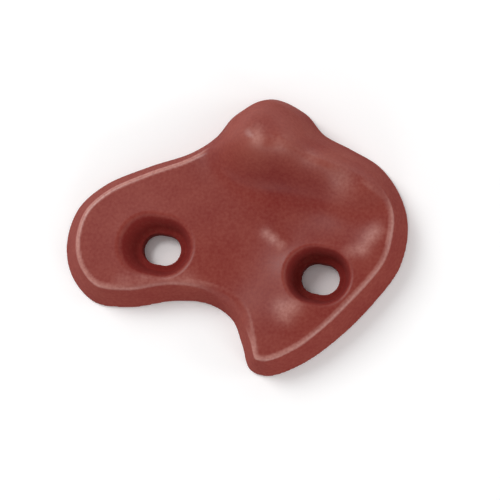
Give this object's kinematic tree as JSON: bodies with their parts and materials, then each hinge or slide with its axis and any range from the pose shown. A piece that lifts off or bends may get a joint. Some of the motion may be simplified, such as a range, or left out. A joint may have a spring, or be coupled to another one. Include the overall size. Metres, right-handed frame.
{
  "type": "climbing hold",
  "caption": "Moulded plastic climbing hold with a three-lobed outline, a raised knob above a finger scoop, two countersunk bolt holes and a ribbed hollow back.",
  "frame": {"origin": "middle of the overall box, on the flat back that bears on the wall", "axes": "+Z out of the wall through the grip face, +X along the longest side towards the end with the right-hand bolt hole, +Y towards the knob"},
  "size_m": [0.1279, 0.104, 0.0298],
  "materials": {
    "hold_plastic": "brick-red plastic with a fine moulded grain and a soft sheen"
  },
  "bodies": {
    "root": {"hold_body": "hold_plastic"}
  },
  "joints": []
}
